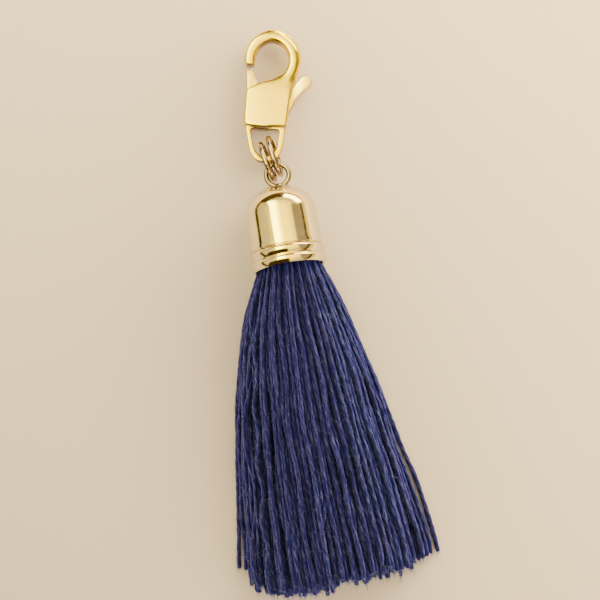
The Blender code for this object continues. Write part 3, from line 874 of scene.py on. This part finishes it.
# The hook's outer side slopes down to its edge: heights, and how far out the edge is at each.
OUTER_SIDE = (
    (-2.2, 0.5, 2.8, 4.2, 5.45, 6.5, 7.3, 7.9, 8.3),
    (2.50, 2.66, 3.02, 3.41, 3.66, 3.48, 3.07, 2.52, 1.91),
)
OUTER_SLOPE = 0.26  # how far it drops, and how wide the slope is
SLOPE_WIDE = 1.0
SLOPE_GROWS = (0.5, 3.5)  # between these heights
HOOK_ROUND = 0.17  # how far the hook's faces drop from its middle line to its edges
HOUSING_ROUND = (0.10, 0.05)  # how far the plates drop to their sides and to their ends
HOUSING_REACH = (2.5, 2.4)  # from their middle to their sides and to their ends
HOUSING_MIDDLE = 0.1
BODY_RIM = 0.28  # rounding of the body's rims and of its outline's corners
SLOT_HALF = 0.8
SLOT = (
    (-2.00, -1.95), (4.00, -1.95), (4.00, 3.30), (3.30, 3.30), (2.55, 2.65), (1.75, 2.00),
    (0.75, 2.00), (0.75, 3.20), (-2.90, 3.20), (-2.90, 1.40), (-2.00, 1.05),
)
LOOP_HALF = 0.55
LOOP_RIM = 0.18
LOOP_CORNERS = 0.22
LOOP_OUTER = (
    (-2.14, -2.00), (-2.14, -2.80), (-1.56, -5.20), (-1.05, -6.05), (-0.35, -6.42), (0.60, -6.42),
    (1.42, -6.12), (1.94, -5.42), (2.24, -4.30), (2.34, -2.80), (2.34, -2.00),
)
LOOP_HOLE = (
    (-1.62, -2.64), (-1.10, -4.80), (-0.74, -5.42), (-0.15, -5.76), (0.60, -5.76), (1.20, -5.36),
    (1.54, -4.50), (1.70, -2.64),
)
PIVOT = (-0.15, 0.25)
PIN_RADIUS = 0.35
PIN_LENGTH = 2.0
CLASP_GOLD = (0.98, 0.73, 0.0, 1.0)
CLASP_SHADE = (0.95, 0.69, 0.0, 1.0)
CLASP_POLISH = (0.16, 0.26)
CLASP_END_WALL_SHADE = (0.17, 0.11, 0.06, 1.0)  # painted shade on walls that face the rings
CLASP_FLANK = (0.50, 0.85)  # how squarely a wall faces them where its painted shade begins and is full


def arc_of(ellipse, start, end, count):
    x, y, wide, high = ellipse
    turns = np.radians(np.linspace(start, end, count))
    return [(x + wide * math.cos(turn), y + high * math.sin(turn)) for turn in turns]


def softened(outline, count, soft):
    """A closed outline in even steps, its corners rounded over a length."""
    corners = np.array(list(outline) + [outline[0]])
    lengths = np.linalg.norm(np.diff(corners, axis=0), axis=1)
    walked = np.concatenate([[0.0], np.cumsum(lengths)])
    steps = np.linspace(0.0, walked[-1], count, endpoint=False)
    points = np.stack([np.interp(steps, walked, corners[:, axis]) for axis in (0, 1)], axis=1)
    step = walked[-1] / count
    for _ in range(max(1, round(2.0 * (soft / step) ** 2))):
        points = 0.5 * points + 0.25 * (np.roll(points, 1, 0) + np.roll(points, -1, 0))
    return points.tolist()


def rounded_plate(shape, half, rounding, segments, grid=None):
    """Raises a flat shape to a plate about z = 0, rounds its rims and divides its flat faces."""
    bpy.ops.object.mode_set(mode="EDIT")
    bpy.ops.mesh.select_all(action="SELECT")
    bpy.ops.mesh.extrude_region_move(TRANSFORM_OT_translate={"value": (0, 0, 2 * half * MM)})
    bpy.ops.mesh.select_all(action="SELECT")
    bpy.ops.transform.translate(value=(0, 0, -half * MM))
    bpy.ops.mesh.normals_make_consistent(inside=False)
    bpy.ops.object.mode_set(mode="OBJECT")
    rims = shape.modifiers.new("rims", "BEVEL")
    rims.width = rounding * MM
    rims.segments = segments
    rims.limit_method = "ANGLE"
    rims.angle_limit = math.radians(60)
    rims.use_clamp_overlap = False
    bpy.ops.object.modifier_apply(modifier="rims")
    if grid:
        corners = np.array([vertex.co for vertex in shape.data.vertices])
        bpy.ops.object.mode_set(mode="EDIT")
        for axis, normal in enumerate(((1, 0, 0), (0, 1, 0))):
            low, high = corners[:, axis].min(), corners[:, axis].max()
            for cut in np.arange(low + grid * MM, high, grid * MM):
                bpy.ops.mesh.select_all(action="SELECT")
                bpy.ops.mesh.bisect(plane_co=[cut * part for part in normal], plane_no=normal)
        bpy.ops.object.mode_set(mode="OBJECT")
    return shape


def combine(target, tool, operation):
    """Cuts one closed shape from another, or unites the two, and drops the second."""
    select_only(target)
    step = target.modifiers.new("combine", "BOOLEAN")
    step.solver = "EXACT"
    step.operation = operation
    step.object = tool
    bpy.ops.object.modifier_apply(modifier="combine")
    bpy.data.objects.remove(tool)


def pin_shape(radius, length):
    """A round pin where the gate turns."""
    bpy.ops.object.select_all(action="DESELECT")
    place = (PIVOT[0] * MM, PIVOT[1] * MM, 0)
    bpy.ops.mesh.primitive_cylinder_add(
        vertices=48, radius=radius * MM, depth=length * MM, location=place
    )
    return bpy.context.object


def ring_shape(name, outer, inner):
    """A flat band between two outlines with as many points each."""
    band = joined(start_shape(name, outer), start_shape("hole", inner))
    bpy.context.tool_settings.mesh_select_mode = (False, True, False)
    bpy.ops.object.mode_set(mode="EDIT")
    bpy.ops.mesh.select_all(action="SELECT")
    bpy.ops.mesh.bridge_edge_loops()
    bpy.ops.object.mode_set(mode="OBJECT")
    return band


body_outline = (
    arc_of(HOOK_OUTER, HOOK_TIP, HOOK_ROOTS[0], count=90)
    + list(HOUSING)
    + arc_of(HOOK_INNER, HOOK_ROOTS[1], HOOK_TIP, count=70)
)
body = start_shape("clasp_casting", softened(body_outline, count=460, soft=BODY_RIM), "NGON")
rounded_plate(body, HOUSING_HALF, BODY_RIM, segments=5, grid=0.25)
for vertex in body.data.vertices:
    x, y, z = vertex.co / MM
    share = smooth_step(*THINNER, y)
    thick = HOUSING_HALF * (1 - share) + HOOK_HALF * share
    aside, along = (x - HOUSING_MIDDLE) / HOUSING_REACH[0], y / HOUSING_REACH[1]
    crown = HOUSING_ROUND[0] * (1 - share) * aside**2 + HOUSING_ROUND[1] * (1 - share) * along**2
    edge = np.interp(y, *OUTER_SIDE)
    beyond = np.clip((x - edge + SLOPE_WIDE) / SLOPE_WIDE, 0.0, 1.0)
    crown += OUTER_SLOPE * smooth_step(*SLOPE_GROWS, y) * beyond**2
    turn = math.atan2(y - HOOK_INNER[1], x - HOOK_INNER[0])
    inner, outer = (
        wide * high / math.hypot(wide * math.sin(turn), high * math.cos(turn))
        for _, _, wide, high in (HOOK_INNER, HOOK_OUTER)
    )
    reach = math.hypot(x - HOOK_INNER[0], y - HOOK_INNER[1])
    from_middle = np.clip((2 * reach - inner - outer) / (outer - inner), -1.0, 1.0)
    crown += HOOK_ROUND * share * from_middle**2
    vertex.co.z = z / HOUSING_HALF * (thick - crown) * MM
slot = rounded_plate(start_shape("slot", SLOT, "NGON"), SLOT_HALF, rounding=0.02, segments=1)
combine(body, slot, "DIFFERENCE")
loop_edges = (softened(edge, count=160, soft=LOOP_CORNERS) for edge in (LOOP_OUTER, LOOP_HOLE))
loop = rounded_plate(ring_shape("loop", *loop_edges), LOOP_HALF, LOOP_RIM, segments=5)
combine(body, loop, "UNION")
combine(body, pin_shape(PIN_RADIUS, PIN_LENGTH), "UNION")
clasp_place = placed(CLASP, (-CLASP_LEAN, "Z"))
body.data.transform(clasp_place)
smoothed(body, 38)
body.data.materials.clear()
# painted shade on the walls that face the rings
end_wall_shade = [smooth_step(*CLASP_FLANK, -vertex.normal.y) for vertex in body.data.vertices]
mark_points(body.data, "flank", end_wall_shade)
clasp_gold = plated_metal(
    "polished_clasp_gold", CLASP_GOLD, CLASP_SHADE, CLASP_POLISH, CLASP_END_WALL_SHADE
)
body.data.materials.append(clasp_gold)
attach(body, "tassel")
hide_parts("clasp_body")

# ---- clasp gate ------------------------------------------
# The thumb lever, hub and nose are one flat brass piece that turns on the pin between the plates.
# A spring inside presses the nose against the hook's tip. The paddle is polished by thumbs.
GATE_HALF = 0.65
PADDLE_HALF = 0.80
PADDLE_FROM = (3.0, 4.3)  # the lever thickens to its paddle between these places
PIN_CLEARANCE = 0.06
BORE_LENGTH = 3.0
GATE_RIM = 0.18
GATE_CORNERS = 0.12
GATE_GOLD = (0.90, 0.68, 0.28, 1.0)
GATE_SHADE = (0.74, 0.54, 0.30, 1.0)
GATE_POLISH = (0.20, 0.32)
GATE = (
    (-2.46, 4.05), (-2.34, 1.78), (-1.50, 0.90), (-0.98, 0.05), (-0.55, -0.45), (0.20, -0.52),
    (1.20, -0.35), (2.40, -0.55), (2.80, -0.50), (3.27, 0.82), (3.90, 1.68), (4.68, 2.38),
    (5.05, 2.90), (5.00, 3.34), (4.68, 3.70), (4.21, 3.82), (3.74, 3.62), (3.36, 3.02),
    (2.75, 2.26), (1.90, 1.50), (0.60, 0.98), (-0.45, 1.38), (-1.02, 2.50), (-1.85, 4.21),
)

gate = start_shape("gate_casting", softened(GATE, count=260, soft=GATE_CORNERS), "NGON")
rounded_plate(gate, GATE_HALF, GATE_RIM, segments=4, grid=0.3)
for vertex in gate.data.vertices:
    share = smooth_step(*PADDLE_FROM, vertex.co.x / MM)
    vertex.co.z *= 1 + share * (PADDLE_HALF / GATE_HALF - 1)
combine(gate, pin_shape(PIN_RADIUS + PIN_CLEARANCE, BORE_LENGTH), "DIFFERENCE")
gate.data.transform(clasp_place)
smoothed(gate, 38)
gate.data.materials.clear()
gate.data.materials.append(plated_metal("satin_gate_gold", GATE_GOLD, GATE_SHADE, GATE_POLISH))
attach(gate, "gate")
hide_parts("clasp_gate")

# ---- table, light and camera -----------------------------
# The tassel lies on a sheet of pale warm paper in a bright room. The polished metal mirrors its
# pale ceiling, a lit panel up on the left, a low window on the far right and dark walls between.
PAPER = (0.50, 0.37, 0.24)
PAPER_LIGHT_TOWARDS = (14.0, 14.0, 0.0)  # painted light: from the darkest to the lightest tone towards +X and +Y, over about 70 mm each way
PAPER_LIGHT_SHARES = (0.70, 1.30)
PAPER_GRAIN = 900.0  # how many grains fit in a metre
PAPER_RELIEF = (0.15, 0.00003)

bpy.ops.object.select_all(action="DESELECT")
bpy.ops.mesh.primitive_plane_add(size=1.4, location=(0, 0, 0))
table = bpy.context.object
table.name = "table"


def vector_step(tree, operation, output, inputs):
    return add_node(tree, "VectorMath", output, inputs, operation=operation)


paper, paper_tree = new_material("pale_paper")
paper_place = add_node(paper_tree, "TexCoord", "Object")
# painted light: the paper's colour is darker towards -X and -Y and lighter towards +X and +Y
paper_lie = vector_step(paper_tree, "DOT_PRODUCT", "Value", {0: paper_place, 1: PAPER_LIGHT_TOWARDS})
paper_painted_light = {0: PAPER, "Scale": ranged(paper_tree, paper_lie, *PAPER_LIGHT_SHARES, -1.0)}
paper_inputs = {
    "Base Color": vector_step(paper_tree, "SCALE", "Vector", paper_painted_light),
    "Roughness": 0.95,
    "Specular IOR Level": 0.1,
    "Normal": bumped(paper_tree, noise(paper_tree, paper_place, PAPER_GRAIN, 4.0), *PAPER_RELIEF),
}
feed_shader(paper_tree, paper_inputs)
table.data.materials.append(paper)

ROOM = (
    # height of the direction, colour: from the floor's edge up the walls to the ceiling
    (-0.06, (1.2, 0.9, 0.5)),
    (-0.03, (0.03, 0.02, 0.01)),
    (0.14, (0.03, 0.02, 0.01)),
    (0.18, (1.1, 0.95, 0.75)),
    (0.60, (1.2, 1.05, 0.8)),
    (0.80, (2.7, 2.25, 0.7)),
    (0.93, (4.3, 3.45, 0.3)),
    (1.00, (4.7, 3.70, 0.1)),
)
# Bright and dark things in the room: between two places in x, in y and in height.
SOFT_EDGE = 0.04  # half the width of such a thing's blurred edge
WALL_THINGS = (
    # colour, x from and to, y from and to, height from and to
    ((6.8, 6.0, 1.0), (-0.53, -0.06), (-0.40, 0.75), (0.50, 1.01)),
    ((12.0, 12.5, 3.0), (-0.53, -0.22), (-0.40, 0.75), (0.50, 1.01)),
    ((0.5, 0.5, 0.5), (-0.60, -0.55), (-0.40, 0.60), (0.50, 1.01)),
    ((0.50, 0.42, 0.45), (0.58, 1.01), (-0.90, 0.36), (0.12, 0.85)),
    ((1.5, 1.2, 0.7), (0.60, 1.01), (-1.01, 0.50), (-0.06, 0.20)),
    ((0.03, 0.02, 0.01), (0.60, 1.01), (-1.01, 0.50), (0.19, 0.33)),
    ((0.05, 0.03, 0.02), (-0.80, 0.05), (-1.01, -0.42), (0.0, 0.88)),
    ((0.10, 0.06, 0.03), (-0.70, 0.20), (0.70, 1.01), (0.0, 0.45)),
    ((14.0, 13.0, 10.0), (0.25, 1.01), (0.38, 1.01), (0.14, 0.46)),
)
BEYOND_TABLE = (2.2, 1.6, 0.8)  # what the camera sees past the table's edge
LOW_LIGHT = (65.0, 62.2, 50.5)  # what the walls send to matt things, level with the table
LIGHT_FALLS = 5.0  # how steeply it falls towards the ceiling
SIDE_LIGHT = (0.38, 0.05, 0.0)  # how it changes towards +X and +Y
CEILING_LIGHT = (0.50, 0.54, 0.68)

world = bpy.data.worlds.new("room")
bpy.context.scene.world = world
world.use_nodes = True
room_tree = world.node_tree
room_tree.nodes.clear()
direction = add_node(room_tree, "TexCoord", "Generated")
axes = {name: add_node(room_tree, "SeparateXYZ", name, {"Vector": direction}) for name in "XYZ"}


def rise(axis, start, end):
    """0 before the start and 1 after the end, along one axis of the room."""
    return ranged(room_tree, axes[axis], 0.0, 1.0, start, end, "SMOOTHSTEP")


room = (*ROOM[0][1], 1.0)
for (low, _), (high, colour) in zip(ROOM, ROOM[1:]):
    room = mixed(room_tree, rise("Z", low, high), room, (*colour, 1.0))
for colour, *spans in WALL_THINGS:
    inside = 1.0
    for axis, (low, high) in zip("XYZ", spans):
        past_low = rise(axis, low - SOFT_EDGE, low + SOFT_EDGE)
        before_high = rise(axis, high + SOFT_EDGE, high - SOFT_EDGE)
        both = computed(room_tree, "MULTIPLY", past_low, before_high)
        inside = computed(room_tree, "MULTIPLY", inside, both)
    room = mixed(room_tree, inside, room, (*colour, 1.0))
sideways = vector_step(room_tree, "DOT_PRODUCT", "Value", {0: direction, 1: SIDE_LIGHT})
below_top = computed(room_tree, "SUBTRACT", 1.0, axes["Z"])
falling = computed(room_tree, "POWER", below_top, LIGHT_FALLS)
low_share = computed(room_tree, "MULTIPLY", falling, computed(room_tree, "ADD", sideways, 1.0))
low_light = vector_step(room_tree, "SCALE", "Vector", {0: LOW_LIGHT, "Scale": low_share})
soft_light = vector_step(room_tree, "ADD", "Vector", {0: CEILING_LIGHT, 1: low_light})
room = mixed(room_tree, add_node(room_tree, "LightPath", "Is Diffuse Ray"), room, soft_light)
seen = add_node(room_tree, "LightPath", "Is Camera Ray")
room = mixed(room_tree, seen, room, (*BEYOND_TABLE, 1.0))
glow = add_node(room_tree, "Background", "Background", {"Color": room})
feed(room_tree, room_tree.nodes.new("ShaderNodeOutputWorld"), {"Surface": glow})

window = bpy.data.lights.new("window", "AREA")
window.size = 0.16
window.energy = 1.0
window.color = (1.0, 0.88, 0.52)
window_light = new_object("window", window)
window_light.location = (0.150, 0.110, 0.150)
window_light.rotation_mode = "QUATERNION"
window_light.rotation_quaternion = (-window_light.location).to_track_quat("-Z", "Y")
window_light.visible_glossy = False

AIM = Vector((0.60, 1.35, 3.0))
IMAGE_UP = Vector((0.165, 0.986, 0.0))
CAMERA_AWAY = 450.0
CAMERA_TILT = math.radians(8.5)
VIEW_WIDE = 67.5  # how much of the aim's plane the picture takes in
back = Vector((0, 0, math.cos(CAMERA_TILT))) - IMAGE_UP * math.sin(CAMERA_TILT)
camera_data = bpy.data.cameras.new("camera")
camera = new_object("camera", camera_data)
camera_data.lens = camera_data.sensor_width * CAMERA_AWAY / VIEW_WIDE
camera_data.clip_start = 0.01
camera_data.clip_end = 5.0
right = IMAGE_UP.cross(back).normalized()
up = back.cross(right)
turn = Matrix((right, up, back)).transposed().to_4x4()
camera.matrix_world = Matrix.Translation((AIM + back * CAMERA_AWAY) * MM) @ turn
bpy.context.scene.camera = camera
